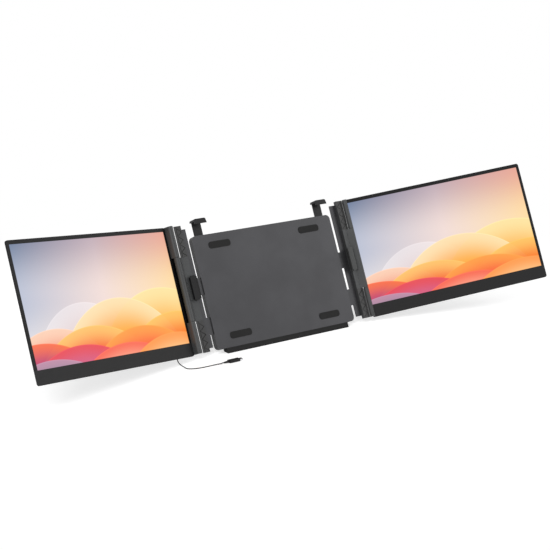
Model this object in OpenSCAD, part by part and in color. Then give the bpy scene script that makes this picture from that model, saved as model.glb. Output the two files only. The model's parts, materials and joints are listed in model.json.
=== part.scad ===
// Laptop screen extender: a bracket that holds a lid, with a folding screen on each side of it.
// Units are millimetres.  +Z is up, +X is to the user's right and +Y is away from the user.
// The origin is the middle of the bracket's foot on the surface that it stands on.
//
// Most pieces are drawn in the leaning frame: x as above, y = 0 on the pads that the lid leans on,
// z = 0 at the screens' lower edge, and the whole leant back by lean_angle.  The pieces of a screen
// are drawn in its own frame: the hinge axis is x = y = 0, x runs outwards and y to the back.
// Side 0 is the right one and side 1 is the left one, drawn as its mirror image.

/* [Stance] */
// How far the bracket and the screens lean back, in degrees
lean_angle = 25.3; // [15:0.1:35]
// Height of the leaning frame's origin above the surface
ground_gap = 7.2; // [7:0.1:12]
// How far each screen is turned towards the user, in degrees
screen_turn = 19.5; // [0:0.5:40]
// How far the kickstand is opened from the bracket, in degrees
stand_angle = 38; // [34:1:46]

/* [Screens] */
// Width of a screen's lit area
active_w = 344.2; // [300:0.2:380]
// Height of a screen's lit area
active_h = 193.6; // [180:0.2:215]
// Height of the chin below the lit area
chin_h = 22.9; // [18:0.1:30]
// Width of the border above the lit area
top_border = 6.5; // [5:0.1:12]
// Width of the border at the outer side
outer_border = 5.3; // [4:0.1:12]
// Radius of the frame's outer corners
corner_r = 4; // [1:0.5:5]
// Depth of the frame
frame_d = 2.4; // [2.4:0.1:4]
// Thickness of the lip in front of the display panel
lip_t = 0.4; // [0.3:0.1:0.6]
// Thickness of the display panel
panel_t = 1; // [0.8:0.1:1.2]
// Thickness of the rear cover
cover_t = 0.8; // [0.8:0.1:1.6]
// Depth of the box on the rear cover that holds the electronics
box_d = 6; // [6:0.1:9]
// Height of that box
box_h = 118; // [70:1:140]
// Distance of that box from a screen's two sides
box_inset = 24; // [18:1:40]
// Wall of that box
box_wall = 1; // [0.8:0.1:1.4]
// Slope of that box's sides, as the distance that they lean in
box_slope = 5; // [2:0.5:8]

/* [Hinges] */
// Radius of the right hinge's barrels
right_barrel_r = 4.6; // [4:0.1:5]
// Radius of the left hinge's barrels
left_barrel_r = 5.5; // [5:0.1:5.7]
// Radius of the hinge pins
pin_r = 2; // [1.5:0.1:2.5]
// Lower end of the middle barrel
barrel_z0 = 57.3; // [45:0.1:70]
// Upper end of the middle barrel
barrel_z1 = 168.3; // [150:0.1:185]
// Height of a friction washer
washer_t = 0.4; // [0.3:0.1:0.8]
// From the right hinge's axis back to its screen's front
right_set_back = 3.3; // [3:0.1:4]
// From the left hinge's axis back to its screen's front
left_set_back = 7; // [6.6:0.1:8]
// From the right hinge's axis out to the lit area
right_reach = 4.9; // [4.8:0.1:7]
// From the left hinge's axis out to the lit area
left_reach = 10.4; // [10:0.1:12]
// From the spine's outer side to the right hinge's axis
right_stand_off = 4.5; // [4.4:0.1:8]
// From the spine's outer side to the left hinge's axis
left_stand_off = 13.1; // [12:0.1:16]

/* [Spines] */
// Distance between the two spines, which the lid fits in
spine_gap = 331; // [320:0.2:380]
// Width of a spine
spine_w = 13.4; // [12:0.1:16]
// Lower end of a spine
spine_z0 = 2; // [1:0.5:6]
// Thickness of the grooved covers
spine_cover_t = 1.2; // [1:0.1:1.6]
// Height of the pattern on the grooved covers
groove_pitch = 14; // [10:1:24]
// Width of a groove
groove_w = 1.2; // [0.5:0.1:1.6]
// Depth of a groove
groove_d = 0.5; // [0.2:0.1:0.7]

/* [Clips] */
// Thickness of the lid that the bracket holds
lid_t = 7; // [5:0.1:9]
// Height of the lid's upper edge
lid_top = 225.3; // [215:0.1:240]
// Thickness of the clips' rubber pads
pad_t = 0.8; // [0.5:0.1:1]
// Thickness of the clips' hooks
hook_t = 1.6; // [1.2:0.1:2]
// Height of a side clip
side_clip_h = 43; // [25:1:60]
// Height of the side clips' middle
side_clip_z = 113.2; // [80:0.1:140]
// Width of the side clips' hooks
side_clip_w = 10.5; // [9.5:0.1:13]
// How far the side clips reach over the spines
side_clip_reach = 8.2; // [7:0.1:9]
// Thickness of the side clips' rubber lips
side_lip_t = 2.7; // [2:0.1:3.5]
// Distance of a top clip from the middle
top_clip_x = 128.5; // [124:0.5:128.5]
// Width of a top clip
top_clip_w = 25.5; // [22:0.5:34]
// Height of a top clip above the lid
top_clip_h = 4.8; // [3:0.1:8]

/* [Bracket] */
// Width of the bracket's housing
hub_w = 294; // [290:1:296]
// Upper edge of the housing
hub_z1 = 202; // [198:1:204]
// Lower edge of the housing
hub_z0 = 2; // [1:0.5:4]
// Depth of the housing behind the lid pads
hub_d = 13; // [13:0.1:14]
// Wall of the housing
hub_wall = 2; // [1.6:0.1:2.2]
// Thickness of the arms' straps and of the top clips' stems
strap_t = 2; // [1.6:0.1:2]
// Height of each strap
strap_h = 30; // [24:1:36]
// How far an arm slides in from where it stands
arm_in = 5; // [2:1:6]
// How far an arm slides out from where it stands
arm_out = 40; // [10:1:45]

/* [Kickstand] */
// Width of the kickstand
stand_w = 104; // [60:1:110]
// Thickness of the kickstand
stand_t = 2.8; // [2.2:0.1:3]
// Height of the kickstand's hinge
stand_z = 140; // [138:0.5:142]
// Radius of the kickstand's pin
stand_pin_r = 1.5; // [1:0.1:1.6]
// Radius of the kickstand's barrel
stand_barrel_r = 2.4; // [2.3:0.1:2.5]

/* [Ports and buttons] */
// From the hinge's axis out to the first socket
port_x = 42.5; // [42:0.5:60]
// Distance between one socket and the next
port_pitch = 15; // [13:1:20]
// Width of the power button
button_w = 12; // [8:0.5:14]
// Width of the menu rocker
rocker_w = 16; // [12:0.5:20]
// How far the buttons stand out
button_out = 0.8; // [0.6:0.1:1.2]

/* [Cable] */
// Diameter of the cord
cord_d = 1.8; // [1.6:0.1:2.6]

/* [Hidden] */
$fn = 48;

eps = 0.01;           // overshoot of a cut past a face
bite = 0.05;          // how far a web's corners lie inside the barrel's surface
slide_fit = 0.2;      // gap beside a sliding or a loosely seated piece
fold_gap = 0.4;       // gap between folded layers
pin_fit = 0.05;       // radial gap of a pin in its turning bore
seat_fit = 0.02;      // radial gap of a pin in its fixed bore

// Screens
screen_h = chin_h + active_h + top_border;
cover_y = frame_d;                       // the rear cover's front, behind the screen's front
sheet_y = frame_d + cover_t;             // the rear cover's back
screen_t = sheet_y + box_d;
window_gap = 0.3;                        // frame opening beyond the lit area
panel_lap = 2;                           // panel behind the frame's lip
port_y = sheet_y + box_d / 2;            // middle of the sockets and the buttons
box_z0 = chin_h + 1.1;
box_z1 = box_z0 + box_h;
board_t = 1.2;
socket_h = 3.3;
board_y = port_y - socket_h / 2;         // back face of the driver board
board_w = 130;
board_h = 36;
board_edge = 5;                          // from the board's edges to its posts
board_post_r = 2.2;

// Hinges, as [right, left]
set_back = [right_set_back, left_set_back];
reach = [right_reach, left_reach];
stand_off = [right_stand_off, left_stand_off];
barrel_r = [right_barrel_r, left_barrel_r];
near_x = [1.7, left_barrel_r + slide_fit]; // near edge of a screen
near_rim = [2.4, 0.8];                   // frame between a screen's near edge and its panel
outer_x = [reach[0] + active_w + outer_border, reach[1] + active_w + outer_border];
spine_in = spine_gap / 2;
spine_out = spine_in + spine_w;
axis_x = [spine_out + stand_off[0], spine_out + stand_off[1]];
hook_y = -(lid_t + pad_t);               // back of the hooks
hook_front = hook_y - hook_t;
axis_y0 = hook_front - fold_gap + set_back[0];
axis_y = [axis_y0, axis_y0 - set_back[0] - screen_t - fold_gap + set_back[1]];
relief_r = right_barrel_r + fold_gap;   // cut in the right screen round its barrels
knuckle_gap = washer_t + 2 * 0.1;
spine_z1 = screen_h;
zones = [[spine_z0, barrel_z0 - knuckle_gap], [barrel_z1 + knuckle_gap, spine_z1]];
pin_hold = 22;                           // length of a pin in the middle barrel
pin_cap = 3;                             // closed end of a knuckle beyond its pin
tab_t = 1.8;                             // knuckle's tab on the rear cover
tab_w = 16;
flank_x = [-3.1, 3];                     // inner edges of the knuckles' webs
web_gap = 0.5;                           // between a side clip and the right hinge's web
bracket_root = 5.5;                      // depth of the hinge bracket at the spine
bracket_turn = [118, 140];               // where the bracket's back meets the barrel, in degrees
shroud_reach = -2.5;                     // inner edge of the left screen's black edge strip
shroud_front = 0.5;
rear_screw_r = 0.8;                      // screws at the rear cover's edges
rear_screw_y = 1.2;                      // their tips behind the screen's front
rear_head_r = 1.6;
rear_head_t = 0.5;

// Spines, straps and bracket
hub_front_t = 2;
pad_proud = 1;
strap_y = pad_proud + hub_front_t + slide_fit;
spine_front = -3.6;
spine_back = strap_y;
see_through = 1.5;                       // slope that leaves a view past the left spine's outer edge
spine_edge_t = 0.5;
line_in = 3.6;                           // from the spine's outer edge to the line in its covers
line_w = 0.6;
groove_in = 1;                           // from the spine's inner edge to the zigzag
groove_end = 2;                          // from the covers' ends to the zigzag
clip_out = spine_in + side_clip_reach;   // outer edge of a side clip
clip_in = clip_out - side_clip_w;        // inner edge of its hook
stem_in = spine_in - 1;                  // inner face of its stem
hub_x = hub_w / 2;
hub_corner = 8;
hub_inner_y = pad_proud + hub_front_t;
hub_back_y = hub_d - hub_wall;
strap_z = [45, 115];                     // middle heights of the straps
flange_x = hub_x + arm_in + 2;
flange_edge = 6;                         // from the spine's ends and outer edge to the arm plate's
stop_r = 2;
stop_x = 100;
stop_y = pad_proud + 0.6;
strap_end = stop_x - arm_out - stop_r - 8;
stem_w = top_clip_w - 7.5;                // the stems are narrower than the clips' heads
stem_y = strap_y + strap_t + 1;
stem_z0 = 150;
guide_w = 12;                            // blocks that the top clips' stems run between
guide_z0 = stem_z0 + 4;
rail_w = 3;
rail_x = 102;                            // middle of the rails behind the straps
rail_len = 72;
rail_step = 9;                           // from a strap's middle to its rails
port_cut = 5;                            // half-depth of the cuts through the housing's edges
lid_pad_x = 95;
lid_pad_w = 44;
lid_pad_h = 12;
lid_pad_edge = 20;                       // from the housing's ends to the pads' middles
foot_in = 17;                            // from the housing's sides to the foot strip's ends
cut_reach = 600;                         // size of the cut below the surface
screw_r = 1.25;
screw_head_r = 2.6;
screw_head_t = 1.2;
screw_bite = 1;                          // depth of a screw's hole in the front plate
drive_r = 0.9;                           // recess in a screw's head
drive_t = 0.7;
screw_boss_r = 3.4;
screw_edge = 10;                         // from the housing's edges to the screws

// Kickstand
stand_y = hub_d - stand_barrel_r - 0.2;
recess_floor = stand_y - stand_barrel_r - 0.2;
recess_x = stand_w / 2 + 1;
recess_z1 = stand_z + 5;
tub_wall = 1.4;
leg_border = 12;                         // round the shallow panel in the leg's back
leg_relief = 0.6;
foot_lap = 0.3;                          // rubber foot beyond the leg's two faces
stand_back = 1.9;                        // leg's rear face behind the pin
stand_foot_h = 8;
screw_spots = concat([[0, hub_z1 - screw_edge]], [for (s = [-1, 1], c = [
  [hub_x - screw_edge, hub_z0 + screw_edge], [recess_x + tub_wall + screw_edge, hub_z0 + screw_edge],
  [top_clip_x - stem_w / 2 - screw_edge, hub_z1 - screw_edge]]) [s * c.x, c.y]]);
// Height of the kickstand's pin above the surface, and the pin's distance from the surface along the leg
stand_height = ground_gap - stand_y * sin(lean_angle) + stand_z * cos(lean_angle);
stand_len = stand_height / cos(stand_angle - lean_angle);

// Foot, and the leaning frame's place over the surface
foot_y = [0.5, hub_d - 0.5];
function ground_z(y) = -(ground_gap - y * sin(lean_angle)) / cos(lean_angle);
function ground_y(y) = y * cos(lean_angle) + ground_z(y) * sin(lean_angle);
lean_y = -(ground_y(foot_y[0]) + ground_y(foot_y[1])) / 2;

// Cable: the cord's route on the surface, chosen by hand
cord_r = cord_d / 2;
plug_w = 10.4;
plug_t = 4.8;
near_plug_len = 13;
near_relief_len = 11.5;                  // to just below the screen's lower edge
far_plug_len = 20;
far_relief_len = 10;
relief_tip = 0.2;                        // strain reliefs' thin ends beyond the cord
tip_len = 6.5;
tip_w = 8.2;
tip_t = 2.5;
cord_gap = 0.1;                          // between the cord's ends and the plugs

// ---------------------------------------------------------------- frames
module lean() translate([0, lean_y, ground_gap]) rotate([-lean_angle, 0, 0]) children();
module sided(i) { if (i == 0) children(); else mirror([1, 0, 0]) children(); }
module arm(i) lean() sided(i) children();
module screen(i) arm(i) translate([axis_x[i], axis_y[i], 0]) rotate([0, 0, -screen_turn]) children();
module stand() lean() translate([0, stand_y, stand_z]) rotate([stand_angle, 0, 0]) children();
module surface_cut() translate([0, 0, -cut_reach / 2])
  cube([2 * cut_reach, 2 * cut_reach, cut_reach], center = true);

// ---------------------------------------------------------------- shapes
// Box between two opposite corners
module box(p, q) translate(p) cube(q - p);

// Box with rounded corners in its x and z directions
module plate(p, q, r) translate([0, q.y, 0]) rotate([90, 0, 0]) linear_extrude(q.y - p.y)
  rounded([p.x, p.z], [q.x, q.z], r);
module rounded(p, q, r) {
  translate([p.x + r, p.y]) square([q.x - p.x - 2 * r, q.y - p.y]);
  translate([p.x, p.y + r]) square([q.x - p.x, q.y - p.y - 2 * r]);
  for (x = [p.x + r, q.x - r], y = [p.y + r, q.y - r]) translate([x, y]) circle(r);
}

// Solid with a round-ended cross-section of w by t, upwards from z = 0
module stadium(w, t, h) linear_extrude(h) {
  square([w - t, t], center = true);
  for (x = [-1, 1]) translate([x * (w - t) / 2, 0]) circle(d = t);
}

// Cylinder along y
module rod_y(x, z, r, y0, y1) translate([x, y1, z]) rotate([90, 0, 0]) cylinder(r = r, h = y1 - y0);
// Cylinder along x
module rod_x(y, z, r, x0, x1) translate([x0, y, z]) rotate([0, 90, 0]) cylinder(r = r, h = x1 - x0);
// Cylinder along z
module rod_z(r, z0, z1) translate([0, 0, z0]) cylinder(r = r, h = z1 - z0);

// Where a line from p touches the circle of radius r round the origin, on the side given by turn
function touch(p, r, turn) = let (t = r - bite, a = atan2(p.y, p.x) + turn * acos(t / norm(p)))
  t * [cos(a), sin(a)];

// ---------------------------------------------------------------- bracket
module hub_front_plate() color([0.17, 0.17, 0.18]) lean() difference() {
  union() {
    plate([-hub_x, pad_proud, hub_z0], [hub_x, hub_inner_y, hub_z1], hub_corner);
    for (s = [-1, 1]) box([s * top_clip_x - guide_w / 2, hub_inner_y, guide_z0],
                          [s * top_clip_x + guide_w / 2, stem_y - slide_fit, hub_z1 - hub_wall - 4]);
  }
  for (s = screw_spots) rod_y(s.x, s.y, screw_r, hub_inner_y - screw_bite, hub_inner_y + eps);
  for (s = [-1, 1], z = strap_z) rod_y(s * stop_x, z, stop_r + seat_fit, stop_y, hub_inner_y + eps);
}

module hub_back_cover() color([0.2, 0.2, 0.21]) lean() difference() {
  union() {
    difference() {
      plate([-hub_x, hub_inner_y, hub_z0], [hub_x, hub_d, hub_z1], hub_corner);
      plate([-hub_x + hub_wall, hub_inner_y - 1, hub_z0 + hub_wall],
            [hub_x - hub_wall, hub_back_y, hub_z1 - hub_wall], hub_corner - hub_wall);
    }
    // tub round the kickstand's recess
    box([-recess_x - tub_wall, recess_floor - tub_wall, hub_z0 + eps],
        [recess_x + tub_wall, hub_back_y + eps, recess_z1 + tub_wall]);
    // rails behind the straps and the stems
    for (s = [-1, 1], z = strap_z, d = [-1, 1])
      box([s * rail_x - rail_len / 2, strap_y + strap_t + slide_fit, z + d * rail_step - rail_w / 2],
          [s * rail_x + rail_len / 2, hub_back_y + eps, z + d * rail_step + rail_w / 2]);
    for (s = [-1, 1]) box([s * top_clip_x - guide_w / 2, stem_y + strap_t + slide_fit, guide_z0],
                          [s * top_clip_x + guide_w / 2, hub_back_y + eps, hub_z1 - hub_wall + eps]);
    for (s = screw_spots) rod_y(s.x, s.y, screw_boss_r, hub_inner_y, hub_back_y + eps);
  }
  // recess, open at its lower end
  box([-recess_x, recess_floor, hub_z0 - 1], [recess_x, hub_d + 1, recess_z1]);
  rod_x(stand_y, stand_z, stand_pin_r + seat_fit, -recess_x - tub_wall - eps, recess_x + tub_wall + eps);
  // ways out for the straps and the stems
  for (s = [-1, 1], z = strap_z)
    box([s * hub_x - port_cut, strap_y - slide_fit, z - strap_h / 2 - slide_fit],
        [s * hub_x + port_cut, strap_y + strap_t + slide_fit, z + strap_h / 2 + slide_fit]);
  for (s = [-1, 1])
    box([s * top_clip_x - stem_w / 2 - slide_fit, stem_y - slide_fit, hub_z1 - port_cut],
        [s * top_clip_x + stem_w / 2 + slide_fit, stem_y + strap_t + slide_fit, hub_z1 + port_cut]);
  for (s = screw_spots) {
    rod_y(s.x, s.y, screw_r + seat_fit, 0, hub_d + 1);
    rod_y(s.x, s.y, screw_head_r + seat_fit, hub_d - screw_head_t, hub_d + 1);
  }
}

module lid_pads() color([0.09, 0.09, 0.09]) lean()
  for (s = [-1, 1], z = [hub_z0 + lid_pad_edge, hub_z1 - lid_pad_edge])
    plate([s * lid_pad_x - lid_pad_w / 2, 0, z - lid_pad_h / 2],
          [s * lid_pad_x + lid_pad_w / 2, pad_proud, z + lid_pad_h / 2], 0.4 * lid_pad_h);

module foot_strip() color([0.07, 0.07, 0.07]) difference() {
  lean() box([-hub_x + foot_in, foot_y[0], -2 * ground_gap], [hub_x - foot_in, foot_y[1], hub_z0]);
  surface_cut();
}

module hub_screws() color("dimgray") lean() for (s = screw_spots) {
  rod_y(s.x, s.y, screw_r, hub_inner_y - screw_bite, hub_d - screw_head_t);
  difference() {
    rod_y(s.x, s.y, screw_head_r, hub_d - screw_head_t, hub_d);
    rod_y(s.x, s.y, drive_r, hub_d - drive_t, hub_d + 1);
  }
}

module arm_stop_pins() color("silver") lean()
  for (s = [-1, 1], z = strap_z) rod_y(s * stop_x, z, stop_r, stop_y, strap_y + strap_t + 1.2);

module kickstand_pin() color("silver") lean()
  rod_x(stand_y, stand_z, stand_pin_r, -recess_x - tub_wall, recess_x + tub_wall);

module kickstand_leg() color([0.22, 0.22, 0.23]) stand() difference() {
  union() {
    rod_x(0, 0, stand_barrel_r, -stand_w / 2, stand_w / 2);
    box([-stand_w / 2, stand_back - stand_t, -stand_len + stand_foot_h], [stand_w / 2, stand_back, 0]);
  }
  rod_x(0, 0, stand_pin_r + pin_fit, -stand_w, stand_w);
  // shallow panel in the leg's back
  plate([-stand_w / 2 + leg_border, stand_back - leg_relief, -stand_len + stand_foot_h + leg_border],
        [stand_w / 2 - leg_border, stand_back + 1, -leg_border - stand_barrel_r], leg_border / 2);
}

module kickstand_foot() color([0.07, 0.07, 0.07]) difference() {
  stand() box([-stand_w / 2, stand_back - stand_t - foot_lap, -stand_len - stand_foot_h],
              [stand_w / 2, stand_back + foot_lap, -stand_len + stand_foot_h]);
  surface_cut();
}

// ---------------------------------------------------------------- arms
module arm_plate(i) color([0.55, 0.56, 0.58]) arm(i) difference() {
  union() {
    for (z = strap_z)
      box([strap_end, strap_y, z - strap_h / 2], [flange_x + 1, strap_y + strap_t, z + strap_h / 2]);
    box([flange_x, strap_y, spine_z0 + flange_edge],
        [spine_out - flange_edge, strap_y + strap_t, spine_z1 - flange_edge]);
    box([flange_x, strap_y, barrel_z0 + 2], [spine_out, strap_y + strap_t, barrel_z1 - 2]);
  }
  // slots that run on the stop pins
  for (z = strap_z) plate([stop_x - arm_out - stop_r - 0.1, 0, z - stop_r - 0.1],
                          [stop_x + arm_in + stop_r + 0.1, 20, z + stop_r + 0.1], stop_r);
}

// Outline of the spine: the left one's outer edge is thin where the knuckles turn, so that light
// passes behind it
module spine_outline(i, front) {
  slope = (spine_back - front - spine_edge_t) / see_through;
  edge = i == 0 ? [[spine_out, spine_back]]
                : [[spine_out, front + spine_edge_t], [spine_out - slope, spine_back]];
  polygon(concat([[spine_in, spine_back], [spine_in, front], [spine_out, front]], edge));
}

module spine(i) color([0.3, 0.3, 0.3]) arm(i) {
  front = spine_front + spine_cover_t;
  translate([0, 0, spine_z0]) linear_extrude(barrel_z0 - spine_z0) spine_outline(i, front);
  translate([0, 0, barrel_z1]) linear_extrude(spine_z1 - barrel_z1) spine_outline(i, front);
  box([spine_in, spine_front, barrel_z0], [spine_out, spine_back, barrel_z1]);
}

// Covers with a moulded zigzag of grooves and a line beside it
module spine_covers(i) color([0.36, 0.36, 0.36]) arm(i) for (k = [0, 1]) {
  z0 = k == 0 ? spine_z0 : barrel_z1;
  z1 = k == 0 ? barrel_z0 : spine_z1;
  line_x = spine_out - line_in;
  w = line_x - spine_in - groove_in;
  turn = atan2(groove_pitch / 2, w);
  steps = floor((z1 - z0 - 2 * groove_end) / (groove_pitch / 2));
  difference() {
    box([spine_in, spine_front, z0], [spine_out, spine_front + spine_cover_t, z1]);
    box([line_x - line_w / 2, spine_front - 1, z0 - 1],
        [line_x + line_w / 2, spine_front + groove_d, z1 + 1]);
    for (n = [0 : steps - 1])
      translate([line_x - w / 2, spine_front, z0 + groove_end + (n + 0.5) * groove_pitch / 2])
        rotate([0, n % 2 == 0 ? -turn : turn, 0]) translate([-w / 2 / cos(turn), -1, -groove_w / 2])
          cube([w / cos(turn), 1 + groove_d, groove_w]);
  }
}

// Middle barrel with the web that carries it on the spine.  The right one's web starts on the spine's
// front, beside the side clip, so that one slanted face covers both.
module hinge_bracket(i) {
  r = barrel_r[i] - bite;
  edge = [-stand_off[i], spine_front - axis_y[i]];
  root = i == 0 ? [clip_out + web_gap - axis_x[0], edge.y] : edge;
  turn = bracket_turn[i];
  color([0.38, 0.38, 0.38]) arm(i) translate([axis_x[i], axis_y[i], 0]) difference() {
    union() {
      rod_z(barrel_r[i], barrel_z0, barrel_z1);
      translate([0, 0, barrel_z0]) linear_extrude(barrel_z1 - barrel_z0)
        polygon(concat([touch(root, barrel_r[i], 1), root], i == 0 ? [edge] : [],
                       [edge + [0, bracket_root], r * [cos(turn), sin(turn)], [0, 0]]));
    }
    rod_z(pin_r + seat_fit, barrel_z0 - 1, barrel_z0 + pin_hold + 0.5);
    rod_z(pin_r + seat_fit, barrel_z1 - pin_hold - 0.5, barrel_z1 + 1);
  }
}

module hinge_pins(i) color("silver") arm(i) translate([axis_x[i], axis_y[i], 0]) {
  rod_z(pin_r, spine_z0 + pin_cap, barrel_z0 + pin_hold);
  rod_z(pin_r, barrel_z1 - pin_hold, spine_z1 - pin_cap);
}

module hinge_washers(i) color([0.12, 0.12, 0.12]) arm(i) translate([axis_x[i], axis_y[i], 0])
  for (z = [barrel_z0 - knuckle_gap / 2, barrel_z1 + knuckle_gap / 2]) difference() {
    rod_z(barrel_r[i] - 0.4, z - washer_t / 2, z + washer_t / 2);
    rod_z(pin_r + pin_fit, z - 2, z + 2);
  }

// Side clip: a stem on the spine's front and a hook over the lid's edge
side_clip_z0 = side_clip_z - side_clip_h / 2;
side_clip_z1 = side_clip_z + side_clip_h / 2;
module side_clip(i) color([0.13, 0.13, 0.13]) arm(i) {
  plate([clip_in, hook_front, side_clip_z0], [clip_out, hook_y, side_clip_z1], 3);
  plate([stem_in, hook_y - eps, side_clip_z0 + 2], [clip_out, spine_front, side_clip_z1 - 2], 2);
}

// Rubber lip round the hook's inner edge, with a pad behind the hook
module side_clip_pad(i) color([0.05, 0.05, 0.05]) arm(i) {
  back = hook_y + pad_t - slide_fit / 2;
  plate([clip_in - side_lip_t, hook_front, side_clip_z0 + 2], [clip_in, back, side_clip_z1 - 2], 1);
  box([clip_in - eps, hook_y, side_clip_z0 + 4], [stem_in - 0.6, back, side_clip_z1 - 4]);
}

// Top clip: a flat stem in the housing, and a head that reaches over the lid's upper edge
module top_clip(i) {
  head_z = lid_top + 0.3;
  color([0.2, 0.2, 0.2]) arm(i) {
    box([top_clip_x - stem_w / 2, stem_y, stem_z0],
        [top_clip_x + stem_w / 2, stem_y + strap_t, head_z + 1]);
    difference() {
      translate([0, stem_y + strap_t, 0]) rotate([90, 0, 0]) linear_extrude(stem_y + strap_t - hook_front)
        top_clip_outline(head_z - 4.5, lid_top + top_clip_h);
      box([top_clip_x - top_clip_w, hook_y, head_z - 20],
          [top_clip_x + top_clip_w, stem_y + strap_t + 1, head_z]);
    }
  }
}

module top_clip_outline(z0, z1) {
  r = 3;
  polygon([for (s = [-1, 1], k = [0, 1]) let (w = top_clip_w / 2 - (s < 0 ? k : 1 - k) * 1)
           [top_clip_x + s * w, (s < 0 ? k : 1 - k) == 0 ? z0 : z1 - r]]);
  translate([top_clip_x, z1 - r]) {
    for (s = [-1, 1]) translate([s * (top_clip_w / 2 - 1 - r), 0]) circle(r);
    translate([-top_clip_w / 2 + 1 + r, -r]) square([top_clip_w - 2 - 2 * r, 2 * r]);
  }
}

module top_clip_pad(i) color([0.05, 0.05, 0.05]) arm(i)
  plate([top_clip_x - top_clip_w / 2 + 3, hook_y, lid_top - 4],
        [top_clip_x + top_clip_w / 2 - 3, hook_y + pad_t - slide_fit / 2, lid_top + 0.3], 1.5);

// ---------------------------------------------------------------- screens
// Opening in the frame between the depths y0 and y1, widened by lap on all sides but the near one
module window(i, lap, y0, y1) box(
  [near_x[i] + near_rim[i], set_back[i] + y0, chin_h - window_gap - lap],
  [reach[i] + active_w + window_gap + lap, set_back[i] + y1, chin_h + active_h + window_gap + lap]);

module bezel(i) color([0.21, 0.21, 0.21]) screen(i) difference() {
  plate([near_x[i], set_back[i], 0], [outer_x[i], set_back[i] + frame_d, screen_h], corner_r);
  window(i, 0, -1, lip_t + eps);
  window(i, panel_lap, lip_t, frame_d + 1);
  if (i == 0) rod_z(relief_r, -1, screen_h + 1);
  for (s = rear_screw_spots(i))
    rod_y(s.x, s.y, rear_screw_r, set_back[i] + rear_screw_y, set_back[i] + frame_d + eps);
}

module display_panel(i) color([0.75, 0.6, 0.55]) screen(i)
  window(i, panel_lap - slide_fit, lip_t, lip_t + panel_t);

module backlight(i) color("white") screen(i)
  window(i, panel_lap - slide_fit, lip_t + panel_t, frame_d);

// Screws at the rear cover's edges: three above the panel and three in the chin
function rear_screw_spots(i) = [for (x = [near_x[i] + 22, (near_x[i] + outer_x[i]) / 2, outer_x[i] - 10],
                                     z = [chin_h / 2, screen_h - 2.2]) [x, z]];

// The box on the rear cover, shrunk by wall: sloped sides, and a straight lower wall for the sockets
module cover_box(i, wall, y0) {
  x0 = near_x[i] + box_inset + wall;
  x1 = outer_x[i] - box_inset - wall;
  y1 = screen_t - wall;
  z0 = box_z0 + wall;
  z1 = box_z1 - wall;
  translate([0, set_back[i], 0]) intersection() {
    linear_extrude(screen_h) polygon([[x0, y0], [x1, y0], [x1 - box_slope, y1], [x0 + box_slope, y1]]);
    translate([outer_x[i], 0, 0]) rotate([90, 0, -90]) linear_extrude(outer_x[i])
      polygon([[-y0, z0], [-y0, z1], [-y1, z1 - box_slope], [-y1, z0]]);
  }
}

module rear_cover(i) color([0.19, 0.19, 0.2]) screen(i) difference() {
  union() {
    plate([near_x[i], set_back[i] + cover_y, 0], [outer_x[i], set_back[i] + sheet_y, screen_h], corner_r);
    cover_box(i, 0, sheet_y - eps);
  }
  difference() {
    cover_box(i, box_wall, cover_y - 1);
    for (x = [board_edge, board_w - board_edge], z = [2 * board_edge, board_h - board_edge])
      rod_y(board_x(i) + x, board_z + z, board_post_r, set_back[i] + board_y, set_back[i] + screen_t);
  }
  if (i == 0) rod_z(relief_r, -1, screen_h + 1);
  translate([port_x, set_back[i] + port_y, box_z0 - 1]) {
    for (n = [0, 1]) translate([n * port_pitch, 0, 0]) stadium(9.1, socket_h + 0.1, 3);
    translate([2 * port_pitch + 1, 0, 1.5]) cube([11.3, socket_h + 0.1, 3], center = true);
  }
  translate([button_x(i), set_back[i] + port_y, box_z0 - 1]) stadium(button_w + 0.3, 3.1, 3);
  translate([rocker_x(i), set_back[i] + port_y, box_z0 - 1]) stadium(rocker_w + 0.8, 3.4, 3);
  for (s = rear_screw_spots(i))
    rod_y(s.x, s.y, rear_screw_r + seat_fit, set_back[i], set_back[i] + screen_t);
}

function board_x(i) = near_x[i] + box_inset + 7;
board_z = box_z0 + box_wall + 0.2;
function button_x(i) = outer_x[i] - box_inset - 24;
function rocker_x(i) = button_x(i) - 26;

module driver_board(i) color([0.05, 0.25, 0.12]) screen(i) {
  box([board_x(i), set_back[i] + board_y - board_t, board_z],
      [board_x(i) + board_w, set_back[i] + board_y, board_z + board_h]);
  for (c = [[20, 12, 12], [62, 10, 16], [96, 14, 10]])
    box([board_x(i) + c.x, set_back[i] + board_y, board_z + c.y],
        [board_x(i) + c.x + c.z, set_back[i] + board_y + 1.2, board_z + c.y + c.z]);
}

module usb_c_ports(i) color("silver") screen(i)
  for (n = [0, 1]) translate([port_x + n * port_pitch, set_back[i] + port_y, box_z0]) {
    difference() {
      stadium(9, socket_h, 7.6);
      translate([0, 0, -1]) stadium(8.4, socket_h - 0.6, 8);
    }
    translate([0, 0, 3.9]) cube([6.6, 0.7, 6.4], center = true);
  }

module hdmi_port(i) color("silver") screen(i)
  translate([port_x + 2 * port_pitch + 1, set_back[i] + port_y, box_z0]) {
    difference() {
      translate([0, 0, 3.8]) cube([11.2, socket_h, 7.6], center = true);
      translate([0, 0, 3]) cube([10.4, socket_h - 0.8, 7.6], center = true);
    }
    translate([0, 0, 4.4]) cube([8, 0.7, 5.6], center = true);
  }

// Knuckles: a barrel above and below the middle one, each with a web to the screen's back
module knuckle_outline(i) {
  e = near_x[i];
  r = barrel_r[i];
  y0 = set_back[i];
  y1 = y0 + sheet_y;
  flank = [flank_x[i], y1 + tab_t];
  tab = [[e + tab_w, y1 + tab_t], [e + tab_w, y1]];
  circle(r);
  if (i == 0) polygon(concat([touch(flank, r, 1), flank], tab, [[e - 0.1, y1], [e - 0.1, 4.2], [0, 0]]));
  else polygon(concat([touch(flank, r, 1), flank], tab,
                      [[e - bite, y1], [e - bite, y0], touch([e, y0], r, -1), [0, 0]]));
}

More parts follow.
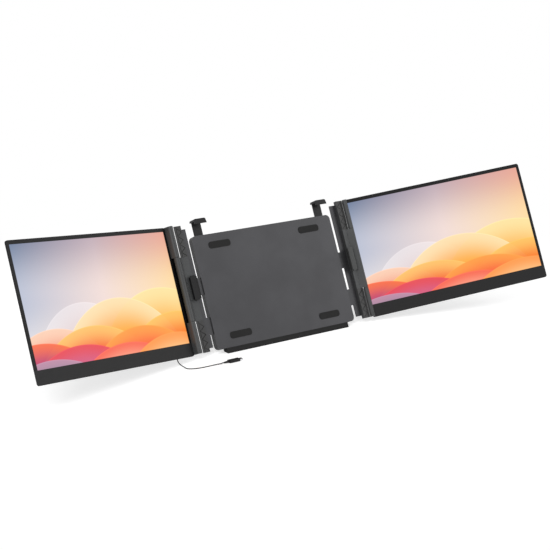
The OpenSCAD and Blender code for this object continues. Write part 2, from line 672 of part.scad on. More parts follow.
module knuckles(i) color([0.4, 0.4, 0.4]) screen(i) for (k = [0, 1]) difference() {
  translate([0, 0, zones[k][0]]) linear_extrude(zones[k][1] - zones[k][0]) knuckle_outline(i);
  rod_z(pin_r + pin_fit, k == 0 ? spine_z0 + pin_cap - 0.3 : zones[k][0] - 1,
        k == 0 ? zones[k][1] + 1 : spine_z1 - pin_cap + 0.3);
}

module hinge_shroud() color("black") screen(1)
  box([shroud_reach, set_back[1] + shroud_front, zones[0][1]],
      [near_x[1], set_back[1] + sheet_y, zones[1][0]]);

module rear_screws(i) color("gray") screen(i) for (s = rear_screw_spots(i)) {
  rod_y(s.x, s.y, rear_screw_r, set_back[i] + rear_screw_y, set_back[i] + sheet_y);
  rod_y(s.x, s.y, rear_head_r, set_back[i] + sheet_y, set_back[i] + sheet_y + rear_head_t);
}

// Button in the box's lower wall, held by a flange inside
module power_button(i) color([0.1, 0.1, 0.1]) screen(i)
  translate([button_x(i), set_back[i] + port_y, box_z0]) {
  translate([0, 0, -button_out]) stadium(button_w, 2.8, button_out + box_wall + 0.5);
  translate([0, 0, box_wall + 0.05]) stadium(button_w + 1.6, 3.8, 0.6);
}

// Rocker on an axle that lies on the wall's inner face
rocker_axle_r = 0.6;
module menu_rocker(i) color([0.1, 0.1, 0.1]) screen(i)
  translate([rocker_x(i), set_back[i] + port_y, box_z0]) {
  translate([0, 0, -button_out]) stadium(rocker_w, 2.8, button_out + box_wall + 0.9);
  rod_y(0, box_wall + rocker_axle_r + 0.05, rocker_axle_r, -1.9, 1.9);
}

// ---------------------------------------------------------------- cable
near_plug_at = [port_x, set_back[1] + port_y, box_z0 - slide_fit];
module near_plug() color([0.08, 0.08, 0.08]) screen(1) translate(near_plug_at) rotate([180, 0, 0]) {
  stadium(plug_w, plug_t, near_plug_len);
  translate([0, 0, near_plug_len])
    cylinder(r1 = plug_t / 2 - relief_tip, r2 = cord_r + relief_tip, h = near_relief_len);
}

module near_plug_tip() color("silver") screen(1) translate(near_plug_at) difference() {
  stadium(tip_w, tip_t, tip_len);
  translate([0, 0, 0.4]) stadium(tip_w - 1, tip_t - 1.2, tip_len);
}

// The cord's first point is the near plug's end, and the others lie on the surface or above it.  All of
// them are below the screens' lower edges, so that a screen turns over the cord.
near_end = lean_point(screen_point(1, near_plug_at - [0, 0, near_plug_len + near_relief_len + cord_gap]));
down = lean_point([0, 0, -1]) - lean_point([0, 0, 0]);
function screen_point(i, p) = let (c = cos(screen_turn), s = sin(screen_turn),
  q = [axis_x[i] + p.x * c + p.y * s, axis_y[i] - p.x * s + p.y * c, p.z]) i == 0 ? q : [-q.x, q.y, q.z];
function lean_point(p) = let (c = cos(lean_angle), s = sin(lean_angle))
  [p.x, lean_y + p.y * c + p.z * s, ground_gap - p.y * s + p.z * c];

far_end = [-164 - cord_gap, -46, plug_t / 2];
cord_route = [
  near_end, near_end + 2 * down, [-235.5, -18.9, 8.1], [-234.3, -20, 6.1], [-232.7, -21.5, 4.3],
  [-231.2, -23.5, 3], [-229.8, -26.4, 2], [-228.5, -32, cord_r + 0.2], [-225.3, -36.4, cord_r],
  [-221, -38.9, cord_r], [-213.9, -41.6, cord_r], [-205, -42.9, cord_r], [-195.5, -43.4, cord_r],
  [-185.7, -43.6, cord_r + 0.1], [-176.4, -44.6, 1.5], far_end - [7, 0.4, 0.4], far_end - [3, 0, 0],
  far_end - [1, 0, 0], far_end
];

// Catmull-Rom curve through the points of a route
function on_curve(r, k, t) =
  let (a = r[max(k - 1, 0)], b = r[k], c = r[k + 1], d = r[min(k + 2, len(r) - 1)])
  0.5 * (2 * b + (c - a) * t + (2 * a - 5 * b + 4 * c - d) * t * t + (3 * b - a - 3 * c + d) * t * t * t);
function curve(r, n) = [for (k = [0 : len(r) - 2], j = [0 : n - 1]) on_curve(r, k, j / n), r[len(r) - 1]];
function unit(v) = v / norm(v);

// Tube of radius r and 8 sides along the points p
module tube(p, r) {
  n = len(p);
  sides = 8;
  along = [for (k = [0 : n - 1]) unit(p[min(k + 1, n - 1)] - p[max(k - 1, 0)])];
  rings = [for (k = [0 : n - 1]) let (u = unit(cross(along[k], [0.3, 1, 0.2])), v = cross(along[k], u))
           for (j = [0 : sides - 1]) p[k] + r * (cos(360 * j / sides) * u + sin(360 * j / sides) * v)];
  walls = [for (k = [0 : n - 2], j = [0 : sides - 1])
           let (a = k * sides + j, b = k * sides + (j + 1) % sides) [a, b, b + sides, a + sides]];
  ends = [[for (j = [sides - 1 : -1 : 0]) j], [for (j = [0 : sides - 1]) (n - 1) * sides + j]];
  polyhedron(rings, concat(walls, ends));
}

module cord() color([0.25, 0.25, 0.25]) tube(curve(cord_route, 3), cord_r);

module far_plug() color([0.08, 0.08, 0.08]) translate(far_end + [cord_gap, 0, 0]) rotate([90, 0, 90]) {
  cylinder(r1 = cord_r + relief_tip, r2 = plug_t / 2 - relief_tip, h = far_relief_len);
  translate([0, 0, far_relief_len]) stadium(plug_w, plug_t, far_plug_len);
}

module far_plug_tip() color("silver") translate(far_end + [cord_gap + far_relief_len + far_plug_len, 0, 0])
  rotate([90, 0, 90]) difference() {
  stadium(tip_w, tip_t, tip_len);
  translate([0, 0, 0.4]) stadium(tip_w - 1, tip_t - 1.2, tip_len);
}

hub_front_plate();
hub_back_cover();
lid_pads();
foot_strip();
hub_screws();
arm_stop_pins();
kickstand_pin();
kickstand_leg();
kickstand_foot();
arm_plate(1);  // left_arm_plate
spine(1);  // left_spine
spine_covers(1);  // left_spine_covers
hinge_bracket(1);  // left_hinge_bracket
hinge_pins(1);  // left_hinge_pins
hinge_washers(1);  // left_hinge_washers
side_clip(1);  // left_side_clip
side_clip_pad(1);  // left_side_clip_pad
top_clip(1);  // left_top_clip
top_clip_pad(1);  // left_top_clip_pad
arm_plate(0);  // right_arm_plate
spine(0);  // right_spine
spine_covers(0);  // right_spine_covers
hinge_bracket(0);  // right_hinge_bracket
hinge_pins(0);  // right_hinge_pins
hinge_washers(0);  // right_hinge_washers
side_clip(0);  // right_side_clip
side_clip_pad(0);  // right_side_clip_pad
top_clip(0);  // right_top_clip
top_clip_pad(0);  // right_top_clip_pad
bezel(1);  // left_bezel
display_panel(1);  // left_display_panel
backlight(1);  // left_backlight
rear_cover(1);  // left_rear_cover
driver_board(1);  // left_driver_board
usb_c_ports(1);  // left_usb_c_ports
hdmi_port(1);  // left_hdmi_port
knuckles(1);  // left_knuckles
hinge_shroud();  // left_hinge_shroud
rear_screws(1);  // left_rear_screws
power_button(1);  // left_power_button
menu_rocker(1);  // left_menu_rocker
bezel(0);  // right_bezel
display_panel(0);  // right_display_panel
backlight(0);  // right_backlight
rear_cover(0);  // right_rear_cover
driver_board(0);  // right_driver_board
usb_c_ports(0);  // right_usb_c_ports
hdmi_port(0);  // right_hdmi_port
knuckles(0);  // right_knuckles
rear_screws(0);  // right_rear_screws
power_button(0);  // right_power_button
menu_rocker(0);  // right_menu_rocker
near_plug();
near_plug_tip();
cord();
far_plug();
far_plug_tip();
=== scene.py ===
"""Looks of a portable pair of side screens on a folding bracket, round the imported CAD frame.

Units are metres in the frame of the part: +Z up, +X to the user's right, +Y away from the user.
"""
import json
import math

import bmesh
import bpy
import numpy as np
from mathutils import Matrix, Vector

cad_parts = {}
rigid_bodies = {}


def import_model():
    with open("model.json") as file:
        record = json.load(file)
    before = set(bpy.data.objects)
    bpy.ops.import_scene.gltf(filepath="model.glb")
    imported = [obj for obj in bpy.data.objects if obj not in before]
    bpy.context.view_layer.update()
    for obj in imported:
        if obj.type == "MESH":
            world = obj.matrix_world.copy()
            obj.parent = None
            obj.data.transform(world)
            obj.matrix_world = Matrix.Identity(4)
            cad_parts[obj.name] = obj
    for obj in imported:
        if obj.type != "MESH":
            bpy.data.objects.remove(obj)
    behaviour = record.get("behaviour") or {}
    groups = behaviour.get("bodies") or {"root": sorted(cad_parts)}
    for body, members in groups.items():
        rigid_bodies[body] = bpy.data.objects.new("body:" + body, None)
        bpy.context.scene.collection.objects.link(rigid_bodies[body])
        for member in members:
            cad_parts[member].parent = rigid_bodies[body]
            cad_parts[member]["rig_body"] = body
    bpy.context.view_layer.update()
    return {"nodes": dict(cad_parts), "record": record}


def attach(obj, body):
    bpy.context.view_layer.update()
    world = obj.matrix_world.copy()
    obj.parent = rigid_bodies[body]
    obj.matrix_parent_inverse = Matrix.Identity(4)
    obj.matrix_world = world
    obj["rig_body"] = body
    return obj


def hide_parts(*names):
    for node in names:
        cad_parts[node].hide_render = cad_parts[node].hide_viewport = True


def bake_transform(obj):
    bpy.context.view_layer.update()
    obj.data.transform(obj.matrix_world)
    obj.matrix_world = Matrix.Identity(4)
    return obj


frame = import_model()
scene = bpy.context.scene
MM = 0.001

# ------------------------------------------------------------------ sizes, as in the part's source
LEAN = math.radians(25.3)                           # the bracket and the screens lean back
TURN = math.radians(19.5)                           # each screen is turned towards the user
LEAN_Y = -3.786185 * MM                             # origin of the leaning frame, and its height
GROUND_GAP = 7.2 * MM
AXIS_X = {"right": 183.4 * MM, "left": 192.0 * MM}  # hinge axis in the leaning frame
AXIS_Y = {"right": -6.5 * MM, "left": -12.4 * MM}
SET_BACK = {"right": 3.3 * MM, "left": 7.0 * MM}    # from the hinge axis back to the screen's front
REACH = {"right": 4.9 * MM, "left": 10.4 * MM}      # from the hinge axis out to the lit area
NEAR_X = {"right": 1.7 * MM, "left": 5.7 * MM}      # from the hinge axis out to the screen's edge
LIT_W, LIT_H = 344.2 * MM, 193.6 * MM
CHIN_H = 22.9 * MM
OUTER_BORDER = 5.3 * MM
SHEET_Y = 3.2 * MM                                  # rear cover's sheet, behind the screen's front
BOX_D, BOX_TOP = 6.0 * MM, 142.0 * MM               # box on the rear cover
COVER_FRONT, GROOVE_FLOOR = -3.6 * MM, -3.1 * MM    # grooved covers and the floor of the grooves
COVER_X = (165.5 * MM, 178.9 * MM)
COVER_Z = (2.0 * MM, 168.3 * MM)                    # lower ends of the two covers
GROOVE_END, GROOVE_PITCH = 2.0 * MM, 14.0 * MM
LINE_X = 175.3 * MM                                 # the line beside the zigzag
FIRST_SOCKET = (42.5 * MM, 13.2 * MM, 23.8 * MM)    # its mouth, in the left screen's frame
PLUG_T = 4.8 * MM
NEAR_PLUG = (13.0 * MM, 11.5 * MM)                  # lengths of a plug's body and strain relief
FAR_PLUG = (20.0 * MM, 10.0 * MM)
RELIEF_TIP = 0.2 * MM
CORD_D = 1.8 * MM
CORD_GAP = 0.1 * MM
SIDES = ("left", "right")


def lean_frame():
    """Frame of the bracket, which leans back with it: the origin is low in its middle."""
    return Matrix.Translation((0, LEAN_Y, GROUND_GAP)) @ Matrix.Rotation(-LEAN, 4, "X")


def side_frame(side):
    """Leaning frame of one side, whose x runs outwards: a mirror image on the left."""
    flip = Matrix.Scale(-1, 4, (1, 0, 0)) if side == "left" else Matrix.Identity(4)
    return lean_frame() @ flip


def screen_frame(side):
    """A screen's own frame: the hinge axis is x = y = 0, x runs outwards and y to the back."""
    return (side_frame(side) @ Matrix.Translation((AXIS_X[side], AXIS_Y[side], 0))
            @ Matrix.Rotation(-TURN, 4, "Z"))


# ------------------------------------------------------------------ camera
CAMERA_PLACE = (-1.3360, -1.8900, 0.7952)
CAMERA_RIGHT, CAMERA_AHEAD = (0.8236, -0.5671, 0.0067), (0.5458, 0.7894, -0.2810)
LENS, SENSOR = 90.59, 36.0


def set_camera():
    data = bpy.data.cameras.new("view")
    data.sensor_width, data.lens = SENSOR, LENS
    data.clip_start, data.clip_end = 0.05, 20
    camera = bpy.data.objects.new("view", data)
    ahead = Vector(CAMERA_AHEAD).normalized()
    up = Vector(CAMERA_RIGHT).normalized().cross(ahead).normalized()
    right = ahead.cross(up).normalized()
    turn = Matrix((right, up, -ahead)).transposed().to_4x4()
    camera.matrix_world = Matrix.Translation(CAMERA_PLACE) @ turn
    scene.collection.objects.link(camera)
    scene.camera = camera


set_camera()


# ------------------------------------------------------------------ shader maths
class Wire:
    """A socket of a material's nodes: sums and products with it add Math nodes."""

    def __init__(self, finish, socket):
        self.finish, self.socket = finish, socket

    def math(self, operation, *others, swap=False):
        values = [*others, self] if swap else [self, *others]
        return self.finish.node("ShaderNodeMath", {"operation": operation}, *values)

    def __add__(self, other):
        return self.math("ADD", other)

    def __radd__(self, other):
        return self.math("ADD", other, swap=True)

    def __sub__(self, other):
        return self.math("SUBTRACT", other)

    def __rsub__(self, other):
        return self.math("SUBTRACT", other, swap=True)

    def __mul__(self, other):
        return self.math("MULTIPLY", other)

    def __rmul__(self, other):
        return self.math("MULTIPLY", other, swap=True)

    def __pow__(self, other):
        return self.math("POWER", other)

    def __truediv__(self, other):
        return self.math("DIVIDE", other)

    def step(self, low, high):
        """0 below low, 1 above high and smooth between them."""
        return self.finish.node("ShaderNodeMapRange",
                                {"interpolation_type": "SMOOTHSTEP", "clamp": True},
                                self, low, high, 0.0, 1.0)


class Finish:
    """A material under construction."""

    def __init__(self, name):
        self.material = bpy.data.materials.new(name)
        self.material.use_nodes = True
        self.tree = self.material.node_tree
        self.shader = self.tree.nodes["Principled BSDF"]

    def node(self, kind, settings, *values, output=0, **named):
        """Adds a node of a type with its settings, then the values or links of its sockets."""
        made = self.tree.nodes.new(kind)
        for key, value in settings.items():
            if key == "stops":
                self.set_stops(made.color_ramp, value)
            else:
                setattr(made, key, value)
        for key, value in [*enumerate(values), *named.items()]:
            socket = made.inputs[key.replace("_", " ") if isinstance(key, str) else key]
            self.feed(socket, value)
        return Wire(self, made.outputs[output])

    @staticmethod
    def set_stops(ramp, stops):
        while len(ramp.elements) < len(stops):
            ramp.elements.new(1.0)
        for element, (place, colour) in zip(ramp.elements, stops):
            element.position = place
            element.color = (*colour, 1.0)

    def feed(self, socket, value):
        """Links a wire or sets a value; None leaves the socket as it is."""
        if isinstance(value, Wire):
            self.tree.links.new(value.socket, socket)
        elif value is not None:
            socket.default_value = value

    def set(self, **values):
        """Feeds the shader's own sockets."""
        for key, value in values.items():
            self.feed(self.shader.inputs[key.replace("_", " ")], value)

    def place(self):
        """Coordinates of the piece, which are those of the part."""
        return self.node("ShaderNodeTexCoord", {}, output=3)

    def leaning(self, scale=(1, 1, 1)):
        """Coordinates that are turned to lie along the leaning bracket, and then scaled."""
        turned = self.node("ShaderNodeMapping", {"vector_type": "POINT"}, self.place(),
                           None, (LEAN, 0, 0), (1, 1, 1))
        return self.node("ShaderNodeMapping", {"vector_type": "POINT"}, turned, None, None, scale)

    def noise(self, vector, scale, detail=2.0, roughness=0.5):
        return self.node("ShaderNodeTexNoise", {}, Vector=vector, Scale=scale, Detail=detail,
                         Roughness=roughness)

    def mix(self, factor, a, b):
        """Mix of two colours, each a wire or three numbers."""
        made = self.tree.nodes.new("ShaderNodeMix")
        made.data_type = "RGBA"
        self.feed(made.inputs[0], factor)
        for socket, value in ((made.inputs[6], a), (made.inputs[7], b)):
            self.feed(socket, value if isinstance(value, Wire) else (*value, 1.0))
        return Wire(self, made.outputs[2])

    def dot(self, vector, direction):
        return self.node("ShaderNodeVectorMath", {"operation": "DOT_PRODUCT"}, vector,
                         tuple(direction), output=1)

    def mark(self, attribute):
        """A number that the piece carries on its surface, such as 1 on its eased edges."""
        return self.node("ShaderNodeAttribute", {"attribute_name": attribute}, output=2)

    def bump(self, height, distance, strength=1.0):
        return self.node("ShaderNodeBump", {}, Strength=strength, Distance=distance,
                         Height=height)

    def drifting(self, colour, place, scale):
        """A colour that drifts slowly between a darker and a lighter tone."""
        drift = self.noise(place, scale, 3.0).step(0.3, 0.7)
        return self.mix(drift, shade(colour, 0.9), shade(colour, 1.1))

    def rubbed(self, place, scale, low, high):
        """1 in the patches of the eased edges that handling has polished."""
        return self.mark("eased_edge") * self.noise(place, scale, 3.0).step(low, high)

    def uneven(self, rough, smudge, swing, rub, polish):
        """Roughness that smudges vary by the swing and that is less on rubbed edges."""
        return rough + smudge * swing - swing / 2 - rub * polish


def shade(colour, by):
    return tuple(max(0.0, c * by) for c in colour)


# ------------------------------------------------------------------ finishes
SUNK_SHADE = 0.04                       # painted shade in the grooves: how dark a sunk face is painted against the finish round it


def moulded(name, colour, rough=0.5, grain=0.35, depth=0.02, worn=1.7, shine=0.25, sunk=False):
    """Moulded plastic or a blasted, painted metal: fine grain, slow drift, rubbed edges and, if
    asked, painted shade on the sunk faces.
    """
    f = Finish(name)
    p = f.place()
    speck = f.noise(p, 900.0 / grain, 2.0, 0.6)
    smudge = f.noise(p, 32.0, 4.0, 0.6)
    rub = f.rubbed(p, 140.0, 0.30, 0.62)
    body = f.drifting(colour, p, 9.0)
    body = f.mix(speck.step(0.35, 0.65) * 0.5, body, shade(colour, 0.72))
    body = f.mix(rub * 0.8, body, shade(colour, worn))
    # painted shade: faces marked as sunk are darkened towards SUNK_SHADE of the colour, standing in
    # for the shade in the grooves
    if sunk:
        body = f.mix(f.mark("sunk"), body, shade(colour, SUNK_SHADE))
    f.set(Base_Color=body, Roughness=f.uneven(rough, smudge, 0.16, rub, 0.12),
          Normal=f.bump(speck, depth * MM), Specular_IOR_Level=shine)
    return f.material


def screen_frame_plastic(name, chin, border):
    """The screen frame's plastic: fine grain, and darker round the lit area above the chin."""
    f = Finish(name)
    p = f.place()
    height = f.dot(f.leaning(), (0, 0, 1)) - GROUND_GAP * math.cos(LEAN)
    above = height.step(CHIN_H - 2.2 * MM, CHIN_H - 0.4 * MM)
    speck = f.noise(p, 2400.0, 2.0, 0.6)
    drift = f.noise(p, 9.0, 3.0)
    smudge = f.noise(p, 30.0, 4.0, 0.6)
    rub = f.rubbed(p, 140.0, 0.30, 0.62)
    body = f.mix(above, f.mix(drift, shade(chin, 0.92), shade(chin, 1.08)), border)
    body = f.mix(speck.step(0.35, 0.65) * 0.4, body, shade(border, 0.8))
    body = f.mix(rub * 0.7, body, shade(chin, 1.5))
    f.set(Base_Color=body, Roughness=f.uneven(0.5, smudge, 0.16, rub, 0.1),
          Normal=f.bump(speck, 0.02 * MM), Specular_IOR_Level=0.2)
    return f.material


def anodised(name, colour, rough=0.44, worn=1.8, metal=0.25, shine=0.4):
    """Satin anodised aluminium: very fine blasting under a dull sheen."""
    f = Finish(name)
    p = f.place()
    blast = f.noise(p, 3200.0, 2.0, 0.6)
    smudge = f.noise(p, 40.0, 4.0, 0.6)
    rub = f.rubbed(p, 170.0, 0.35, 0.6)
    body = f.mix(rub, f.drifting(colour, p, 14.0), shade(colour, worn))
    f.set(Base_Color=body, Metallic=metal, Roughness=f.uneven(rough, smudge, 0.14, rub, 0.1),
          Normal=f.bump(blast, 0.012 * MM), Specular_IOR_Level=shine)
    return f.material


def brushed(name, colour, rough=0.42, along=(2.5, 260, 260)):
    """Blackened steel with long fine scratches along the bracket."""
    f = Finish(name)
    scratch = f.noise(f.leaning(along), 5.0, 5.0, 0.7)
    cloud = f.noise(f.place(), 22.0, 3.0)
    f.set(Base_Color=f.mix(scratch, shade(colour, 0.75), shade(colour, 1.25)), Metallic=0.6,
          Roughness=rough + scratch * 0.2 + cloud * 0.1 - 0.12, Normal=f.bump(scratch, 0.02 * MM))
    return f.material


def turned_metal(name, colour, rough=0.24):
    """Plain turned or stamped bright metal with faint handling marks."""
    f = Finish(name)
    marks = f.noise(f.place(), 260.0, 5.0, 0.65)
    f.set(Base_Color=f.mix(marks, shade(colour, 0.85), shade(colour, 1.1)), Metallic=1.0,
          Roughness=rough + marks * 0.18 - 0.06, Normal=f.bump(marks, 0.01 * MM))
    return f.material


def rubber(name, colour):
    """Matt rubber with a fine pebble and a little dust."""
    f = Finish(name)
    p = f.place()
    pebble = f.node("ShaderNodeTexVoronoi", {"feature": "SMOOTH_F1"}, Vector=p, Scale=1500.0)
    dust = f.noise(p, 60.0, 5.0, 0.65)
    f.set(Base_Color=f.mix(dust.step(0.45, 0.8) * 0.35, colour, shade(colour, 2.2)),
          Roughness=0.78 + dust * 0.15 - 0.05, Normal=f.bump(pebble, 0.03 * MM),
          Specular_IOR_Level=0.25)
    return f.material


def circuit_board():
    """Green solder mask with copper tracks under it."""
    f = Finish("solder_mask")
    p = f.leaning()
    black, white = (0, 0, 0, 1), (1, 1, 1, 1)
    tracks = f.node("ShaderNodeTexBrick", {"offset": 0.4}, Vector=p, Color1=black, Color2=black,
                    Mortar=white, Scale=220.0, Mortar_Size=0.03, output=1)
    cloud = f.noise(p, 70.0)
    mask = f.mix(cloud, (0.006, 0.07, 0.03), (0.01, 0.10, 0.045))
    f.set(Base_Color=f.mix(tracks, mask, (0.03, 0.18, 0.07)), Roughness=0.3 + cloud * 0.15,
          Normal=f.bump(tracks, 0.03 * MM))
    return f.material


def diffuser():
    """White diffuser sheets."""
    f = Finish("diffuser_sheets")
    cloud = f.noise(f.place(), 400.0)
    f.set(Base_Color=f.mix(cloud, (0.80, 0.81, 0.83), (0.86, 0.86, 0.87)),
          Roughness=0.5 + cloud * 0.1)
    return f.material


# The picture on a lit panel: a sky of soft colours and a pile of big soft discs. Its lengths are
# in panel heights, and the sky's colours stand from left to right.
SKY_STOPS = (0.0, 0.5, 1.0)
SKY_HIGH = ((0.10, 0.16, 0.28), (0.50, 0.39, 0.45), (0.80, 0.38, 0.30))
SKY_MIDDLE = ((0.50, 0.54, 0.66), (0.88, 0.72, 0.68), (1.0, 0.73, 0.38))
SKY_LOW = ((0.80, 0.77, 0.80), (1.0, 0.84, 0.66), (1.0, 0.78, 0.42))
SKY_TILT = 0.10                         # the sky's bands sink by this towards the right
TO_MIDDLE, TO_HIGH = (0.08, 0.55), (0.58, 1.14)     # heights where a band turns into the next
DISC_EDGE = (-0.003, 0.004)
DISC_RIM, RIM_LIGHT = 0.012, 1.15
LIT_EDGE = 0.002
DISCS = (  # centre across and up, radius, rim colour, inner colour, depth of shading, opacity
    (0.60, -0.10, 0.58, (0.92, 0.86, 0.88), (0.72, 0.54, 0.58), 0.30, 0.5),
    (1.52, -0.34, 0.86, (1.0, 0.78, 0.36), (1.0, 0.46, 0.06), 0.34, 0.95),
    (1.00, -0.30, 0.78, (1.0, 0.76, 0.42), (1.0, 0.40, 0.04), 0.30, 0.92),
    (0.24, -0.38, 0.68, (0.98, 0.62, 0.44), (0.88, 0.16, 0.05), 0.26, 0.92),
    (1.66, -0.56, 0.86, (1.0, 0.54, 0.12), (0.94, 0.19, 0.02), 0.22, 0.95),
    (0.66, -0.54, 0.82, (1.0, 0.54, 0.14), (0.90, 0.08, 0.02), 0.24, 0.95),
    (1.22, -0.66, 0.88, (1.0, 0.34, 0.06), (0.94, 0.11, 0.04), 0.20, 0.95),
    (0.06, -0.66, 0.86, (0.93, 0.15, 0.06), (0.50, 0.05, 0.17), 0.18, 0.95),
    (0.50, -0.76, 0.90, (0.80, 0.07, 0.10), (0.66, 0.12, 0.24), 0.16, 0.95),
    (1.02, -0.82, 0.92, (0.94, 0.15, 0.09), (0.98, 0.36, 0.24), 0.14, 0.95),
    (1.60, -0.80, 0.92, (1.0, 0.34, 0.08), (1.0, 0.62, 0.28), 0.20, 0.95),
    (0.16, -0.90, 0.96, (0.50, 0.28, 0.40), (0.28, 0.25, 0.34), 0.12, 0.95),
)


def lit_panel(side):
    """Matt display glass over a picture of soft discs, black outside the lit area."""
    f = Finish(f"{side}_lit_panel")
    own = screen_frame(side)
    corner = own @ Vector((REACH[side], 0, CHIN_H))
    across = (own.to_3x3() @ Vector((1, 0, 0))).normalized()
    if side == "left":                  # the user's left is this screen's outer end
        corner = own @ Vector((REACH[side] + LIT_W, 0, CHIN_H))
        across = -across
    upwards = (own.to_3x3() @ Vector((0, 0, 1))).normalized()
    p = f.place()
    u = (f.dot(p, across) - across.dot(corner)) / LIT_H      # 0 to 1.78
    v = (f.dot(p, upwards) - upwards.dot(corner)) / LIT_H    # 0 to 1
    wide = LIT_W / LIT_H
    share = u / wide

    def row(colours):
        return f.node("ShaderNodeValToRGB", {"stops": list(zip(SKY_STOPS, colours))}, share)

    tilt = v + share * SKY_TILT
    picture = f.mix(tilt.step(*TO_MIDDLE), row(SKY_LOW), row(SKY_MIDDLE))
    picture = f.mix(tilt.step(*TO_HIGH), picture, row(SKY_HIGH))
    for x, y, radius, rim, inner, depth, opacity in DISCS:
        dx, dy = u - x, v - y
        inside = radius - (dx * dx + dy * dy) ** 0.5
        tone = f.mix(inside.step(0.0, depth), rim, inner)
        tone = f.mix(inside.step(DISC_RIM, 0.0), tone, shade(rim, RIM_LIGHT))
        picture = f.mix(inside.step(*DISC_EDGE) * opacity, picture, tone)
    lit = (u.step(0, LIT_EDGE) * (wide - u).step(0, LIT_EDGE)
           * v.step(0, LIT_EDGE) * (1 - v).step(0, LIT_EDGE))
    glass = f.noise(p, 4000.0, 1.0)
    f.set(Base_Color=f.mix(glass, (0.004, 0.004, 0.004), (0.007, 0.007, 0.007)),
          Emission_Color=f.mix(lit, (0, 0, 0), picture), Emission_Strength=1.0,
          Roughness=0.36 + glass * 0.06, Normal=f.bump(glass, 0.004 * MM),
          Specular_IOR_Level=0.15)
    return f.material


finishes = {
    "frame_plastic": screen_frame_plastic("frame_plastic", (0.0155, 0.0155, 0.016),
                                          (0.005, 0.005, 0.0055)),
    "grooved_cover": moulded("grooved_cover", (0.050, 0.050, 0.050), 0.42, grain=0.5, sunk=True),
    "hinge_metal": anodised("hinge_metal", (0.055, 0.057, 0.058), shine=0.3),
    "edge_strip": moulded("edge_strip", (0.002, 0.002, 0.002), 0.7, worn=3.0, shine=0.08),
    "clip_plastic": moulded("clip_plastic", (0.012, 0.012, 0.0125), 0.5, shine=0.2),
    "clip_metal": anodised("clip_metal", (0.012, 0.012, 0.0125), shine=0.25),
    "rear_shell": anodised("rear_shell", (0.040, 0.040, 0.043), 0.42),
    "bracket_plate": anodised("bracket_plate", (0.045, 0.045, 0.049), 0.42),
    "bracket_cover": moulded("bracket_cover", (0.040, 0.040, 0.042), 0.5, depth=0.04),
    "kickstand_metal": anodised("kickstand_metal", (0.065, 0.065, 0.070), 0.40, metal=0.5),
    "rubber": rubber("rubber", (0.012, 0.012, 0.012)),
    "arm_steel": brushed("arm_steel", (0.050, 0.050, 0.053)),
    "screw_steel": turned_metal("screw_steel", (0.22, 0.22, 0.23)),
    "washer_polymer": moulded("washer_polymer", (0.020, 0.020, 0.021), 0.4),
    "socket_metal": turned_metal("socket_metal", (0.62, 0.62, 0.64), 0.18),
    "plug_plastic": moulded("plug_plastic", (0.010, 0.010, 0.0105), 0.38, worn=2.2, shine=0.2),
    "button_plastic": moulded("button_plastic", (0.014, 0.014, 0.015), 0.35, worn=2.0),
    "cord_jacket": moulded("cord_jacket", (0.050, 0.050, 0.053), 0.42, worn=1.0),
    "circuit_board": circuit_board(),
    "backlight": diffuser(),
}
# painted light: a lighter grey copy of the clip plastic, given to the right side clip only, while
# the same clip on the left keeps the darker clip plastic
CLIP_PAINTED_LIGHTER = moulded("clip_plastic_painted_lighter", (0.054, 0.056, 0.056), 0.45)


# ------------------------------------------------------------------ making pieces
SAME_POINT, TOO_SHORT = 2e-6, 1e-6      # corners this close are one, edges this short go
SAME_PLANE = math.radians(0.6)
SHARP_FROM = 32                         # degrees between faces from which an edge is eased


def add_object(name, mesh):
    made = bpy.data.objects.new(name, mesh)
    scene.collection.objects.link(made)
    return made


def plain_mesh(holder, name):
    """The evaluated result of an object's modifiers as a new plain object, without the holder."""
    bpy.context.view_layer.update()
    done = holder.evaluated_get(bpy.context.evaluated_depsgraph_get())
    mesh = bpy.data.meshes.new_from_object(done)
    bpy.data.objects.remove(holder)
    mesh.name = name
    return add_object(name, mesh)


def merged_copy(node):
    """A copy of a CAD node's mesh with its corners joined and its flat faces whole."""
    bm = bmesh.new()
    bm.from_mesh(frame["nodes"][node].data)
    bmesh.ops.remove_doubles(bm, verts=bm.verts, dist=SAME_POINT)
    bmesh.ops.dissolve_degenerate(bm, dist=TOO_SHORT, edges=bm.edges)
    bmesh.ops.dissolve_limit(bm, angle_limit=SAME_PLANE, verts=bm.verts, edges=bm.edges)
    mesh = bpy.data.meshes.new(node)
    bm.to_mesh(mesh)
    bm.free()
    return mesh


def set_mark(mesh, attribute, per_face):
    """Stores one number for each face, for a finish to read."""
    sizes = np.zeros(len(mesh.polygons), np.int32)
    mesh.polygons.foreach_get("loop_total", sizes)
    mark = mesh.attributes.new(attribute, "FLOAT", "CORNER")
    mark.data.foreach_set("value", np.repeat(per_face, sizes).astype(np.float32))


def ease_edges(holder, name, width):
    """Bevels an object's sharp edges and marks them, for the finish to wear."""
    holder.data.shade_smooth()
    holder.data.materials.clear()
    for _ in range(2):
        holder.data.materials.append(bpy.data.materials.new("blank"))
    bevel = holder.modifiers.new("ease", "BEVEL")
    bevel.width, bevel.segments, bevel.material = width, 2, 1
    bevel.limit_method, bevel.angle_limit = "ANGLE", math.radians(SHARP_FROM)
    bevel.use_clamp_overlap = True
    flat = holder.modifiers.new("flat", "WEIGHTED_NORMAL")   # keeps large faces flat to the light
    flat.mode, flat.keep_sharp = "FACE_AREA", True
    made = plain_mesh(holder, name)
    mesh = made.data
    on_edge = np.zeros(len(mesh.polygons), np.int32)
    mesh.polygons.foreach_get("material_index", on_edge)
    set_mark(mesh, "eased_edge", on_edge)
    mesh.polygons.foreach_set("material_index", np.zeros(len(mesh.polygons), np.int32))
    blanks = list(mesh.materials)
    mesh.materials.clear()
    for blank in set(blanks):
        if blank is not None and blank.users == 0:
            bpy.data.materials.remove(blank)
    return made


def body_of(node):
    return frame["nodes"][node]["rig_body"]


def slot_of(node):
    return next(p["material_slot"] for p in frame["record"]["subparts"] if p["node"] == node)


